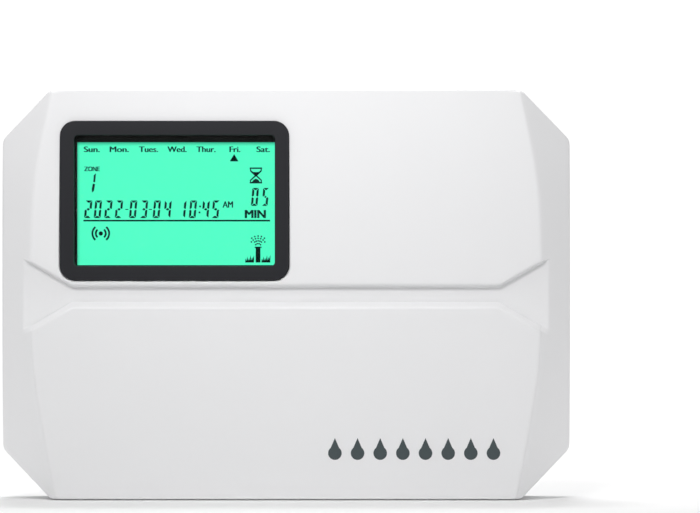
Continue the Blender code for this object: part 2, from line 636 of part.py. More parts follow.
def make_keys(palette):
    """Each key is a rounded cap with a flange behind the deck, over its own switch."""
    stem_y = BOARD_FRONT_Y - TOUCH_GAP - SWITCH_BODY - SWITCH_STEM
    back = stem_y - KEY_TRAVEL - 0.2 * MM
    for i, x in enumerate(key_places(), start=1):
        key = box(f"key_{i}", (x - KEY_WIDTH / 2, x + KEY_WIDTH / 2),
                  (DECK_FRONT_Y - KEY_PROUD, back),
                  (KEY_Z - KEY_HEIGHT / 2, KEY_Z + KEY_HEIGHT / 2), palette["key_grey"], 1.8 * MM)
        rim = KEY_FLANGE
        join(key, box("key_flange", (x - KEY_WIDTH / 2 - rim, x + KEY_WIDTH / 2 + rim),
                      (DECK_BACK_Y + TOUCH_GAP, back),
                      (KEY_Z - KEY_HEIGHT / 2 - rim, KEY_Z + KEY_HEIGHT / 2 + rim)))
        set_origin(key, (x, DECK_FRONT_Y, KEY_Z))
        half = SWITCH_SIZE / 2
        front = BOARD_FRONT_Y - TOUCH_GAP - SWITCH_BODY
        switch = box(f"key_switch_{i}", (x - half, x + half), (front, BOARD_FRONT_Y - TOUCH_GAP),
                     (KEY_Z - half, KEY_Z + half), palette["black_part"])
        join(switch, cylinder("switch_stem", SWITCH_SIZE / 4, (x, front + 0.5 * MM, KEY_Z),
                              (x, stem_y, KEY_Z), sides=16))


# ---------------------------------------------------------------- board and its parts
def soldered_part_places():
    """One driver for each zone and one for the master valve, in a row behind the board."""
    count = ZONE_WAYS + 1
    reach = BOARD_HALF * 0.6
    return [-reach + 2 * reach * i / (count - 1) for i in range(count)]


def make_main_board(surface):
    board = box("main_board", (-BOARD_HALF, BOARD_HALF), (BOARD_FRONT_Y, BOARD_BACK_Y),
                (BOARD_BOTTOM, BOARD_TOP), surface)
    z = BOARD_BOTTOM + 12 * MM
    for x in soldered_part_places():
        join(board, box("driver", (x - 2.2 * MM, x + 2.2 * MM),
                        (BOARD_BACK_Y - BOARD_THICKNESS / 2, BOARD_BACK_Y + 3 * MM), (z, z + 5 * MM)))
    for x, z in board_post_places():
        cut(board, cylinder("board_hole", SCREW_RADIUS + TOUCH_GAP, (x, BOARD_FRONT_Y - 1 * MM, z),
                            (x, BOARD_BACK_Y + 1 * MM, z)))
    return board


def make_terminal_block(name, ways, left, palette, first_tab):
    """A row of spring terminals: tabs push in from the front, wires enter from below."""
    right = left + ways * TERMINAL_PITCH + 2 * TERMINAL_END
    back = BOARD_FRONT_Y - TOUCH_GAP
    front = back - TERMINAL_DEPTH
    block = box(name, (left, right), (front, back), (TERMINAL_BOTTOM, TERMINAL_TOP),
                palette["terminal_green"])
    tab_z = TERMINAL_TOP - 2 * MM - TAB_HEIGHT / 2
    gap = TOUCH_GAP
    for i in range(ways):
        x = left + TERMINAL_END + TERMINAL_PITCH * (i + 0.5)
        cut(block, box("tab_pocket", (x - TAB_WIDTH / 2 - gap, x + TAB_WIDTH / 2 + gap),
                       (front - 1 * MM, front + TAB_DEPTH + TAB_TRAVEL + gap),
                       (tab_z - TAB_HEIGHT / 2 - gap, tab_z + TAB_HEIGHT / 2 + gap)))
        wire_y = front + TERMINAL_DEPTH * 0.45
        cut(block, cylinder("wire_hole", WIRE_HOLE_RADIUS, (x, wire_y, TERMINAL_BOTTOM - 1 * MM),
                            (x, wire_y, tab_z - TAB_HEIGHT / 2 - 1.2 * MM), sides=12))
        tab = box(f"terminal_tab_{first_tab + i:02d}", (x - TAB_WIDTH / 2, x + TAB_WIDTH / 2),
                  (front - TAB_PROUD, front + TAB_DEPTH),
                  (tab_z - TAB_HEIGHT / 2, tab_z + TAB_HEIGHT / 2), palette["tab_orange"])
        set_origin(tab, (x, front, tab_z))
    return right


def make_terminals(palette):
    ways = POWER_WAYS + ZONE_WAYS
    total = ways * TERMINAL_PITCH + 4 * TERMINAL_END + TERMINAL_SPACING
    right = make_terminal_block("power_terminal_block", POWER_WAYS, -total / 2, palette, 1)
    make_terminal_block("zone_terminal_block", ZONE_WAYS, right + TERMINAL_SPACING, palette,
                        POWER_WAYS + 1)


def make_rear_components(palette):
    """The taller parts on the back of the board, in the space towards the wall."""
    face = BOARD_BACK_Y + TOUCH_GAP
    middle = (BOARD_TOP + BOARD_BOTTOM) / 2
    black, steel = palette["black_part"], palette["nickel"]

    wifi = box("wifi_module", (36 * MM, 54 * MM), (face, face + 0.8 * MM),
               (middle + 8 * MM, middle + 33 * MM), palette["board_green"])
    join(wifi, box("wifi_can", (38 * MM, 52 * MM), (face + 0.4 * MM, face + 3 * MM),
                   (middle + 10 * MM, middle + 26 * MM)))

    cell_z = middle + 22 * MM
    holder = cylinder("coin_cell_holder", 12.5 * MM, (0, face, cell_z), (0, face + 5 * MM, cell_z),
                      black, sides=32)
    cut(holder, cylinder("cell_pocket", 10.3 * MM, (0, face + 1.2 * MM, cell_z),
                         (0, face + 6 * MM, cell_z), sides=32))
    cylinder("coin_cell", 10 * MM, (0, face + 1.5 * MM, cell_z), (0, face + 4.7 * MM, cell_z),
             steel, sides=32)

    cylinder("buzzer", 6 * MM, (24 * MM, face, middle - 8 * MM), (24 * MM, face + 9 * MM, middle - 8 * MM),
             black)
    box("inductor", (-6 * MM, 6 * MM), (face, face + 8 * MM), (middle - 14 * MM, middle - 2 * MM),
        black, 2 * MM)
    for i, x in enumerate((-42 * MM, -28 * MM), start=1):
        cylinder(f"capacitor_{i}", 5 * MM, (x, face, middle - 8 * MM), (x, face + 16 * MM, middle - 8 * MM),
                 black)

    fuse_x, fuse_z, fuse_y = -42 * MM, middle + 16 * MM, face + 5 * MM
    fuse_holder = box("fuse_holder", (fuse_x - 13 * MM, fuse_x + 13 * MM), (face, fuse_y + 2 * MM),
                      (fuse_z - 4 * MM, fuse_z + 4 * MM), black)
    cut(fuse_holder, box("fuse_room", (fuse_x - 11.5 * MM, fuse_x + 11.5 * MM),
                         (face + 1.2 * MM, fuse_y + 5 * MM), (fuse_z - 2.9 * MM, fuse_z + 2.9 * MM)))
    cylinder("fuse", 2.5 * MM, (fuse_x - 10 * MM, fuse_y, fuse_z), (fuse_x + 10 * MM, fuse_y, fuse_z),
             steel, sides=16)


# ---------------------------------------------------------------- cable entry and screws
def make_cable_grommet(surface):
    """A rubber sleeve that fills the cable slot, with a wide flange inside the wall."""
    half = CABLE_SLOT_WIDTH / 2 - TOUCH_GAP
    deep = CABLE_SLOT_DEPTH / 2 - TOUCH_GAP
    inside = -HALF_HEIGHT + WALL + TOUCH_GAP
    grommet = box("cable_grommet", (-half, half), (CABLE_SLOT_Y - deep, CABLE_SLOT_Y + deep),
                  (-HALF_HEIGHT + 0.2 * MM, inside + 1.6 * MM), surface)
    flange = 1.2 * MM
    join(grommet, box("grommet_flange", (-half - flange, half + flange),
                      (CABLE_SLOT_Y - deep - flange, CABLE_SLOT_Y + deep + flange),
                      (inside, inside + 1.6 * MM)))
    cut(grommet, box("grommet_hole", (-half + GROMMET_WALL, half - GROMMET_WALL),
                     (CABLE_SLOT_Y - deep + GROMMET_WALL, CABLE_SLOT_Y + deep - GROMMET_WALL),
                     (-HALF_HEIGHT - 5 * MM, inside + 5 * MM)))
    return grommet


def make_screw(name, x, z, head_y, towards, length, surface):
    """A pan-head screw; towards is the direction of its shank along Y."""
    screw = cylinder(name, SCREW_RADIUS, (x, head_y - towards * SCREW_HEAD_HEIGHT / 2, z),
                     (x, head_y + towards * length, z), surface, sides=16)
    head_out = head_y - towards * SCREW_HEAD_HEIGHT
    join(screw, cylinder("screw_head", SCREW_HEAD_RADIUS, (x, head_y, z), (x, head_out, z), sides=20))
    cut(screw, box("driver_slot", (x - 2.2 * MM, x + 2.2 * MM),
                   sorted((head_out - towards * 1 * MM, head_out + towards * 1 * MM)),
                   (z - 0.4 * MM, z + 0.4 * MM)))


def make_screws(surface):
    for i, (x, z) in enumerate(housing_post_places(), start=1):
        make_screw(f"housing_screw_{i}", x, z, REAR_EDGE_Y + SCREW_GRIP + TOUCH_GAP, -1,
                   SCREW_GRIP + SCREW_BITE, surface)
    for i, (x, z) in enumerate(board_post_places(), start=1):
        make_screw(f"board_screw_{i}", x, z, BOARD_FRONT_Y - TOUCH_GAP, 1,
                   BOARD_THICKNESS + SCREW_BITE, surface)


def main():
    for obj in list(bpy.data.objects):
        bpy.data.objects.remove(obj, do_unlink=True)
    bpy.context.scene.collection.children.link(PARTS)
    bpy.context.scene.collection.children.link(CUTTERS)
    palette = make_palette()
    make_rear_housing(palette["grey_rear"])
    make_front_shell(palette["white_shell"])
    make_lower_door(palette["white_door"])
    make_hinge_pins(palette["steel"])
    make_display(palette)
    make_control_deck(palette["inner_white"])
    make_keys(palette)
    make_main_board(palette["board_green"])
    make_terminals(palette)
    make_rear_components(palette)
    make_cable_grommet(palette["rubber_black"])
    make_screws(palette["steel"])


main()
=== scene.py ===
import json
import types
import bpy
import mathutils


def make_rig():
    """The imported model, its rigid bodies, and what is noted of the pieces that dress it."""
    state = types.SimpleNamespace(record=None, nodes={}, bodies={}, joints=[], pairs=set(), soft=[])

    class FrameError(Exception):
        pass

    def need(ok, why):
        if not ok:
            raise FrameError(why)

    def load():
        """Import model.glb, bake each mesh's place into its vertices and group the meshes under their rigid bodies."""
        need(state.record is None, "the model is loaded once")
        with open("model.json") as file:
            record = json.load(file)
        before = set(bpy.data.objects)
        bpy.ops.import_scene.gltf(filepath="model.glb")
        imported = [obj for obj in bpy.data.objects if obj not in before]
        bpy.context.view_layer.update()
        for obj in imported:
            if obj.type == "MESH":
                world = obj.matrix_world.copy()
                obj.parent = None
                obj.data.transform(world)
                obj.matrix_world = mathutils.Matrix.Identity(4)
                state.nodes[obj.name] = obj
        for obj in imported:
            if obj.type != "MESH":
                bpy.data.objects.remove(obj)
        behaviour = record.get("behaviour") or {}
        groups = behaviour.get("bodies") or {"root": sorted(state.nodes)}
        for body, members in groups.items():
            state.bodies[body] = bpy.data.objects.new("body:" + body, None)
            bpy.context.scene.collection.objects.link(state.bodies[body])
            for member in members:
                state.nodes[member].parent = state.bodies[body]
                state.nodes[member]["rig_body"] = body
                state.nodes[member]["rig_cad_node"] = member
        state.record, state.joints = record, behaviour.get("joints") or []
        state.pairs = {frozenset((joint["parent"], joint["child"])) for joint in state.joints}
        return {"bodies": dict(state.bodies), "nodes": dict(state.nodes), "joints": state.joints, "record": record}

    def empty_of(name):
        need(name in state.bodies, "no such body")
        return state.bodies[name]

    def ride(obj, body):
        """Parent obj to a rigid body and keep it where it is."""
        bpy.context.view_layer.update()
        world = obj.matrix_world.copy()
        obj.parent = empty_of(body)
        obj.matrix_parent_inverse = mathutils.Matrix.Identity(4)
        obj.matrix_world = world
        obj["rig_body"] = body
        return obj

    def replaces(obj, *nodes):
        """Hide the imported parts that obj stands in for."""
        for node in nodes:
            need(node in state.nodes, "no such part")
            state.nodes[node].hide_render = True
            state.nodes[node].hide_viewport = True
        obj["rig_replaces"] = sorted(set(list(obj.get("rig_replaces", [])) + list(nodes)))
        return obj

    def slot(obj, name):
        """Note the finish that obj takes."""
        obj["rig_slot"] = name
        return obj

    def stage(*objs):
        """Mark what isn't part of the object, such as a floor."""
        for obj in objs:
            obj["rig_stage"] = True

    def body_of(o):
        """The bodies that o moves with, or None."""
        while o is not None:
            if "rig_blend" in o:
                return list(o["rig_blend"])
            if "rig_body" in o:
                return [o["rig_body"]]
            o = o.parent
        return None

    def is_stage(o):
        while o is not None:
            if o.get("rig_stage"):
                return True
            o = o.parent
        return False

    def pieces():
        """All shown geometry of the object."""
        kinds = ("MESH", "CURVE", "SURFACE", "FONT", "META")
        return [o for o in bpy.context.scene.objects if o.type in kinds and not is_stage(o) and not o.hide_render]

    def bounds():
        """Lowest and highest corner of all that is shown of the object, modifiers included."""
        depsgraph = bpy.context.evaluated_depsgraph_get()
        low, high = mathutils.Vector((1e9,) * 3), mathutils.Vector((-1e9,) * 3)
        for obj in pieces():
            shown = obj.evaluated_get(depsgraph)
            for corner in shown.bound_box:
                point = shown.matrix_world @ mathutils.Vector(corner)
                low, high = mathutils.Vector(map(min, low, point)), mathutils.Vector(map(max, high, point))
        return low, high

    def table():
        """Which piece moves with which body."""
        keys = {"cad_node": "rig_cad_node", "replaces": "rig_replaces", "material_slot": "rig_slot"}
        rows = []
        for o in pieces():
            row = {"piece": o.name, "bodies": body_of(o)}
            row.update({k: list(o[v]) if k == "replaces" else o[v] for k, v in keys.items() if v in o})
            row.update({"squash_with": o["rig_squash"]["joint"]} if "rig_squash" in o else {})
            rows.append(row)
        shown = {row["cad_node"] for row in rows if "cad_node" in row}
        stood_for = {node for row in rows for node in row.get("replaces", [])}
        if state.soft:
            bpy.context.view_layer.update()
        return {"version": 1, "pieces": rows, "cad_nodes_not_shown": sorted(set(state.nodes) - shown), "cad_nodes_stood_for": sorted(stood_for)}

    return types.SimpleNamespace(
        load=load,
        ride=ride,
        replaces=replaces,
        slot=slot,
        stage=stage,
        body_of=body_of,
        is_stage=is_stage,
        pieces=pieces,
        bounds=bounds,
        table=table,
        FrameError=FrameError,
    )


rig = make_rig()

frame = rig.load()

import json
import math

import bmesh
import bpy
from mathutils import Vector

cad_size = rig.bounds()
scene = bpy.context.scene
MM = 0.001


# ================================================================ helpers
# Small tools used by every section: a wrapper that lets shader nodes be written as sums,
# a way to publish a mesh as a named piece, and boolean cuts applied to the mesh itself.
class Wire:
    """A shader value: arithmetic on it adds Math nodes, node() adds any other node."""

    def __init__(self, tree, socket=None):
        self.tree, self.socket = tree, socket

    def node(self, kind, output, inputs=(), **settings):
        made = self.tree.nodes.new("ShaderNode" + kind)
        for key, value in settings.items():
            setattr(made, key, value)
        for key, value in dict(inputs).items():
            if isinstance(value, Wire):
                self.tree.links.new(value.socket, made.inputs[key])
            else:
                made.inputs[key].default_value = value
        return Wire(self.tree, made.outputs[output])

    def maths(self, operation, other=0.0, first=None):
        return self.node("Math", 0, {0: self if first is None else first, 1: other},
                         operation=operation)

    def __add__(self, other):
        return self.maths("ADD", other)

    def __sub__(self, other):
        return self.maths("SUBTRACT", other)

    def __mul__(self, other):
        return self.maths("MULTIPLY", other)

    def __rsub__(self, other):
        return self.maths("SUBTRACT", self, other)

    __radd__, __rmul__ = __add__, __mul__


def new_material(name, colour, roughness, **sockets):
    """A Principled material with constant sockets; returns it with its shader."""
    made = bpy.data.materials.new(name)
    made.use_nodes = True
    shader = next(n for n in made.node_tree.nodes if n.type == "BSDF_PRINCIPLED")
    shader.inputs["Base Color"].default_value = (*colour, 1.0)
    shader.inputs["Roughness"].default_value = roughness
    for key, value in sockets.items():
        shader.inputs[key.replace("_", " ")].default_value = value
    return made, shader


def surface(name, colour, roughness, grain=0.0, cloud=0.03, grain_size=0.35 * MM, **sockets):
    """Moulded or coated surface: faint clouds in colour and gloss, and a fine grain in relief."""
    made, shader = new_material(name, colour, roughness, **sockets)
    tree = made.node_tree
    place = Wire(tree).node("TexCoord", "Object")
    clouds = place.node("TexNoise", "Fac", {"Vector": place, "Scale": 45.0, "Detail": 3.0}) - 0.5
    tone = clouds * cloud + 1.0
    tinted = tone.node("Mix", 2, {0: 1.0, 6: (*colour, 1.0), 7: tone.node(
        "CombineColor", 0, {0: tone, 1: tone, 2: tone})},
        data_type="RGBA", blend_type="MULTIPLY", clamp_result=False)
    tree.links.new(tinted.socket, shader.inputs["Base Color"])
    tree.links.new((clouds * (cloud * 3) + roughness).socket, shader.inputs["Roughness"])
    if grain:
        fine = place.node("TexNoise", "Fac", {"Vector": place, "Scale": 1 / grain_size, "Detail": 2.0})
        relief = fine.node("Bump", "Normal", {"Strength": grain, "Distance": 0.03 * MM, "Height": fine})
        tree.links.new(relief.socket, shader.inputs["Normal"])
    return made


def even_normals(piece):
    """Keeps large flat faces flat where they meet small rounded edges."""
    normals = piece.modifiers.new("even normals", "WEIGHTED_NORMAL")
    normals.keep_sharp, normals.weight = True, 100
    return piece


def publish(name, mesh, material, ride, slot, smooth=35, node=(), finished=True):
    """Makes a mesh or bmesh into a named piece that rides a body and stands for CAD nodes."""
    if isinstance(mesh, bmesh.types.BMesh):
        bmesh.ops.recalc_face_normals(mesh, faces=mesh.faces)
        data = bpy.data.meshes.new(name)
        mesh.to_mesh(data)
        mesh.free()
        mesh = data
    piece = bpy.data.objects.new(name, mesh)
    scene.collection.objects.link(piece)
    piece.data.materials.clear()
    piece.data.materials.append(material)
    piece.data.shade_smooth()
    piece.data.set_sharp_from_angle(angle=math.radians(smooth))
    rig.ride(piece, ride)
    if node:
        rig.replaces(piece, *([node] if isinstance(node, str) else node))
    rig.slot(piece, slot)
    return even_normals(piece) if finished else piece


def solid(name, bm):
    """A loose mesh object for booleans."""
    bmesh.ops.recalc_face_normals(bm, faces=bm.faces)
    data = bpy.data.meshes.new(name)
    bm.to_mesh(data)
    bm.free()
    obj = bpy.data.objects.new(name, data)
    scene.collection.objects.link(obj)
    return obj


def worked(target, tools, operation="DIFFERENCE"):
    """Applies boolean tools to a loose solid, one after another, and removes them."""
    for tool in tools:
        step = target.modifiers.new("step", "BOOLEAN")
        step.operation, step.solver, step.object = operation, "EXACT", tool
    bpy.context.view_layer.update()
    shaped = target.evaluated_get(bpy.context.evaluated_depsgraph_get())
    data = bpy.data.meshes.new_from_object(shaped)
    target.modifiers.clear()
    target.data = data
    for tool in tools:
        bpy.data.objects.remove(tool)
    return target


def taken(obj):
    """The mesh of a loose solid, whose object is then removed."""
    data = obj.data
    bpy.data.objects.remove(obj)
    return data


def softened_rims(bm, edge):
    """Bevels every sharp edge of a box or cylinder."""
    rims = [e for e in bm.edges if e.calc_face_angle(0.0) > math.radians(60)]
    bmesh.ops.bevel(bm, geom=rims, offset=edge, segments=2, profile=0.5,
                    affect="EDGES", material=-1)


def block(x, y, z, radius=0.0, edge=0.0):
    """Box between limits; the corners seen from the front are rounded, then every edge softened."""
    bm = bmesh.new()
    bmesh.ops.create_cube(bm, size=1.0)
    low, size = (x[0], y[0], z[0]), (x[1] - x[0], y[1] - y[0], z[1] - z[0])
    for v in bm.verts:
        v.co = Vector([low[i] + (v.co[i] + 0.5) * size[i] for i in range(3)])
    if radius:
        corners = [e for e in bm.edges if abs(e.verts[0].co.y - e.verts[1].co.y) > 1e-9]
        bmesh.ops.bevel(bm, geom=corners, offset=radius, segments=6, profile=0.5,
                        affect="EDGES", material=-1)
    if edge:
        softened_rims(bm, edge)
    return bm


def rod(start, end, radius, sides=32, edge=0.0):
    """Cylinder between two points, with softened rims."""
    start, end = Vector(start), Vector(end)
    bm = bmesh.new()
    turn = (end - start).to_track_quat("Z", "Y").to_matrix().to_4x4()
    turn.translation = (start + end) / 2
    bmesh.ops.create_cone(bm, cap_ends=True, segments=sides, radius1=radius, radius2=radius,
                          depth=(end - start).length, matrix=turn)
    if edge:
        softened_rims(bm, edge)
    return bm


def gathered(*parts):
    """Several bmeshes as one."""
    whole = bmesh.new()
    for part in parts:
        data = bpy.data.meshes.new("part")
        bmesh.ops.recalc_face_normals(part, faces=part.faces)
        part.to_mesh(data)
        part.free()
        whole.from_mesh(data)
        bpy.data.meshes.remove(data)
    return whole


def softened(node, material, slot):
    """A CAD node's own shape as a piece, with its flat faces merged and its edges bevelled."""
    bm = bmesh.new()
    source = frame["nodes"][node]
    bm.from_mesh(source.data)
    bm.transform(source.matrix_world)
    bmesh.ops.remove_doubles(bm, verts=bm.verts, dist=1e-6)
    bmesh.ops.dissolve_limit(bm, angle_limit=math.radians(2), verts=bm.verts, edges=bm.edges)
    piece = publish(node + "_finish", bm, material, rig.body_of(source)[0], slot, node=node,
                    finished=False)
    bevel = piece.modifiers.new("soft edges", "BEVEL")
    bevel.width, bevel.segments, bevel.limit_method = 0.15 * MM, 2, "ANGLE"
    bevel.angle_limit = math.radians(40)
    return even_normals(piece)


# ================================================================ outer form
# The fascia is one sheet of points placed by formula: a gently crowned face, a soft crease,
# facets falling back at 45 degrees, and a groove across it that flares at both ends.
HALF_WIDTH, HALF_HEIGHT, DEPTH = 100 * MM, 72 * MM, 50 * MM
CORNER_RADIUS, RIM, LEAST_FACET = 4 * MM, 0.6 * MM, 0.4 * MM
CORE_CORNERS = ((96 * MM, 52.843 * MM), (80.843 * MM, 68 * MM))
GROOVE_STRAIGHT, GROOVE_END = 75 * MM, 92.8 * MM
BAND_TOP, FLOOR_BOTTOM, BAND_BOTTOM = 2.8 * MM, -2.4 * MM, -4.6 * MM
BAND_DEPTH, BAND_ROUND = 2.8 * MM, 1.4 * MM
CROWN, HINGE_RADIUS = 1.2 * MM, 3 * MM
FLARE = ((-26 * MM, 0.0), (BAND_BOTTOM, -0.58), (FLOOR_BOTTOM + 0.5 * MM, -0.58), (1.8 * MM, 0.57),
         (4.6 * MM, 0.57), (26 * MM, 0.0))
GROOVE = ((BAND_BOTTOM - 0.45 * MM, 0.0), (BAND_BOTTOM - 0.1 * MM, 0.08 * MM),
          (BAND_BOTTOM + 0.2 * MM, 0.3 * MM), (FLOOR_BOTTOM - 0.15 * MM, BAND_DEPTH - 0.22 * MM),
          (FLOOR_BOTTOM + 0.1 * MM, BAND_DEPTH - 0.05 * MM), (FLOOR_BOTTOM + 0.4 * MM, BAND_DEPTH),
          (BAND_TOP - 0.7 * MM, BAND_DEPTH), (BAND_TOP - 0.35 * MM, BAND_DEPTH - 0.15 * MM),
          (BAND_TOP - 0.15 * MM, BAND_DEPTH - 0.45 * MM)) + tuple(
    (BAND_TOP + BAND_ROUND * (1 - math.sin(math.radians(a))),
     BAND_ROUND * (1 - math.cos(math.radians(a)))) for a in (90, 75, 60, 45, 30, 15, 0))


def along(table, value):
    """Reads a table of (place, value) pairs, straight between its rows."""
    if value <= table[0][0]:
        return table[0][1]
    for (low, first), (high, last) in zip(table, table[1:]):
        if value <= high:
            return first + (last - first) * (value - low) / (high - low)
    return table[-1][1]


def soft_ramp(distance, softness):
    """Nought for negative distances, the distance itself for positive ones, eased between."""
    return (distance + math.hypot(distance, softness)) / 2


def face_half(z):
    """Half-width of the face at a height, the same curve as the CAD's."""
    bend = HALF_HEIGHT * (0.53 if z > 0 else 0.35)
    end_half = HALF_WIDTH - 17.5 * MM - (0.5 if z > 0 else 1.6) * MM
    softness = HALF_HEIGHT * 0.19
    start = soft_ramp(-bend, softness)
    share = (soft_ramp(abs(z) - bend, softness) - start) / (
        soft_ramp(HALF_HEIGHT - bend, softness) - start)
    return 89.7 * MM - (89.7 * MM - end_half) * share


def face_y(z):
    """Depth of the crowned face at a height."""
    return -DEPTH + CROWN * (z / HALF_HEIGHT) ** 2


HINGE_Z = -HALF_HEIGHT + HINGE_RADIUS
HINGE_Y = face_y(HINGE_Z) + HINGE_RADIUS


def outline_half(z, inset=0.0):
    """Half-width of the rounded eight-sided outline at a height, shrunk all round by inset."""
    radius, height = CORNER_RADIUS - inset, abs(z)
    (wide, low), (narrow, high) = CORE_CORNERS
    bend = radius * math.sqrt(0.5)
    if height <= low:
        return wide + radius
    if height <= low + bend:
        return wide + math.sqrt(radius ** 2 - (height - low) ** 2)
    if height <= high + bend:
        return wide + low + 2 * bend - height
    return narrow + math.sqrt(max(0.0, radius ** 2 - (height - high) ** 2))


def sheet_point(column, level, gap=0.0):
    """x and z of a column (1 the bend of the groove, 2 the crease, 3 the outline) at a level."""
    part, z, slope = abs(column), level, along(FLARE, level)
    for _ in range(40):
        safe = max(min(z, HALF_HEIGHT), -HALF_HEIGHT)
        edge = outline_half(safe, RIM)
        crease = min(face_half(safe), edge - LEAST_FACET) + gap
        if part <= 1:
            x = part * GROOVE_STRAIGHT
        elif part <= 2:
            x = GROOVE_STRAIGHT + (part - 1) * (crease - GROOVE_STRAIGHT)
        else:
            x = crease + (part - 2) * (edge - crease)
        z = level + slope * max(0.0, min(x, GROOVE_END) - GROOVE_STRAIGHT)
    return math.copysign(x, column), z


def sheet_depth(x, z, level):
    """How far the front stands behind the crowned face at a point."""
    crease = min(face_half(z), outline_half(z, RIM) - LEAST_FACET)
    facet = soft_ramp(abs(x) - crease, 0.6 * MM) - soft_ramp(-12 * MM, 0.6 * MM)
    groove = along(GROOVE, level)
    return max(facet, groove - (face_y(z) + DEPTH) if groove else 0.0)


def sheet(columns, levels, y_at, gap=0.0):
    """A bmesh grid facing forwards through the given columns (mirrored) and levels."""
    across = [-c for c in reversed(columns[1:])] + list(columns)
    wide, high = len(across) - 1, len(levels) - 1
    bm = bmesh.new()
    bmesh.ops.create_grid(bm, x_segments=wide, y_segments=high, size=1.0)
    for v in bm.verts:
        column = across[round((v.co.x + 1) / 2 * wide)]
        level = levels[round((v.co.y + 1) / 2 * high)]
        x, z = sheet_point(column, level, gap)
        v.co = Vector((x, y_at(x, z, level), z))
    return bm


def thickened(bm, y_back):
    """Closes a forward-facing sheet into a solid whose back lies at y_back(x, z)."""
    made = bmesh.ops.extrude_face_region(bm, geom=list(bm.faces), use_keep_orig=True)
    for v in made["geom"]:
        if isinstance(v, bmesh.types.BMVert):
            v.co.y = y_back(v.co.x, v.co.z)
    return bm


def skin_y(x, z, level):
    """Depth of the finished front at a point."""
    return face_y(z) + sheet_depth(x, z, level)


def share_columns(width, places, start):
    """Column numbers for places given in millimetres across a zone of that width."""
    return [start + place / width for place in places]


FACE_COLUMNS = [0.0, 0.2, 0.4, 0.6, 0.8, 0.95] + share_columns(
    14.7, (0, 2, 5, 8, 10.5, 12, 13.2, 13.9, 14.3), 1)
FACET_COLUMNS = share_columns(9.7, (0, 0.25, 0.6, 1.2, 1.8, 2.3, 2.78, 3.3, 4.5, 6, 7.5, 9, 9.7), 2)
groove_levels = sorted(place for place, _ in GROOVE)
corner_levels = [high + 3.4 * MM * math.sin(math.radians(a))
                 for _, high in CORE_CORNERS for a in (0, 15, 30, 45)]
upper_levels = [5.5 * MM, 7.5 * MM, 10 * MM] + [(13 + 4.2 * i) * MM for i in range(10)] + \
    corner_levels + [60 * MM, 64.5 * MM] + \
    [CORE_CORNERS[1][1] + 3.4 * MM * math.sin(math.radians(a)) for a in (60, 75, 90)]
lower_levels = [-z for z in upper_levels]
BODY_LEVELS = sorted(set(lower_levels + groove_levels + upper_levels))


def core_direction(x, z):
    """The outline's outward direction at a point near it, and how far inside it the point is."""
    (wide, low), (narrow, high) = CORE_CORNERS
    ax, az = abs(x), abs(z)
    diagonal = math.sqrt(0.5)
    if ax + az >= wide + low and ax - az < wide - low and ax - az > narrow - high:
        lean, inset = (diagonal, diagonal), CORNER_RADIUS - (ax + az - wide - low) * diagonal
    else:
        near = (wide, min(az, low)) if ax - az >= wide - low else (min(ax, narrow), high)
        away = Vector((ax - near[0], az - near[1]))
        inset = CORNER_RADIUS - away.length
        lean = tuple(away.normalized())
    return math.copysign(lean[0], x), math.copysign(lean[1], z), inset


def walled(bm, y_back):
    """Rounds a front sheet over its rim and takes it straight back to a flat cap."""
    rails = {}
    for v in bm.verts:
        if v.is_boundary:
            dx, dz, inset = core_direction(v.co.x, v.co.z)
            step = 0.4 * MM
            before = Vector((v.co.x - dx * step, v.co.z - dz * step))
            fall = (sheet_depth(v.co.x, v.co.z, v.co.z) - sheet_depth(*before, before.y)) / step
            rails[tuple(v.co)] = (v.co.copy(), dx, dz, inset, max(0.0, min(1.0, fall)))
    rim = [e for e in bm.edges if e.is_boundary]
    track = {v: rails[tuple(v.co)] for v in bm.verts if v.is_boundary}
    for share in (0.25, 0.5, 0.75, 1.0, None):
        made = bmesh.ops.extrude_edge_only(bm, edges=rim)["geom"]
        fresh = [g for g in made if isinstance(g, bmesh.types.BMVert)]
        by_place = {tuple(v.co): data for v, data in track.items()}
        track = {v: by_place[tuple(v.co)] for v in fresh}
        for v, (start, dx, dz, inset, fall) in track.items():
            if share is None:
                v.co.y = y_back
                continue
            bow, end = 2 * share * (1 - share), share * share
            out = inset * (bow + end)
            back = inset * fall * bow + inset * (fall + 1) * end
            v.co = Vector((start.x + dx * out, start.y + back, start.z + dz * out))
        rim = [g for g in made if isinstance(g, bmesh.types.BMEdge) and g.is_boundary]
    bmesh.ops.holes_fill(bm, edges=rim, sides=0)
    return bm


def outline_prism(inset, front, back):
    """A prism of the rounded outline shrunk by inset, between two depths."""
    heights = sorted(z for z in BODY_LEVELS if abs(z) < HALF_HEIGHT - inset)
    heights = [-HALF_HEIGHT + inset] + heights + [HALF_HEIGHT - inset]
    bm = bmesh.new()
    ring = [bm.verts.new((outline_half(z, inset), front, z)) for z in heights]
    ring += [bm.verts.new((-outline_half(z, inset), front, z)) for z in reversed(heights)]
    bm.faces.new(ring)
    return thickened(bm, lambda x, z: back)


# ================================================================ front shell
# The fascia and the forward halves of the side walls: one white moulding with a seat for the
# display frame, a groove, and a shallow pocket behind the door with an opening to the keys.
WHITE = (0.80, 0.80, 0.81)
white_plastic = surface("white_plastic", WHITE, 0.42, grain=0.05, cloud=0.012)
SEAM, POCKET, SHELL_BACK, SHELL_WALL = 0.04 * MM, 2.9 * MM, -24.15 * MM, 2.5 * MM
BEZEL_X, BEZEL_Z, BEZEL_RADIUS = (-79.3 * MM, 1.1 * MM), (4.9 * MM, 60.9 * MM), 5.3 * MM
HINGE_SWING, KNUCKLES = 3.35 * MM, (-55 * MM, 55 * MM)
KNUCKLE_RADIUS, PIN_HOLE_RADIUS = 1.7 * MM, 0.95 * MM
CLEAR_FRONT, CLEAR_FOOT = -60 * MM, -80 * MM


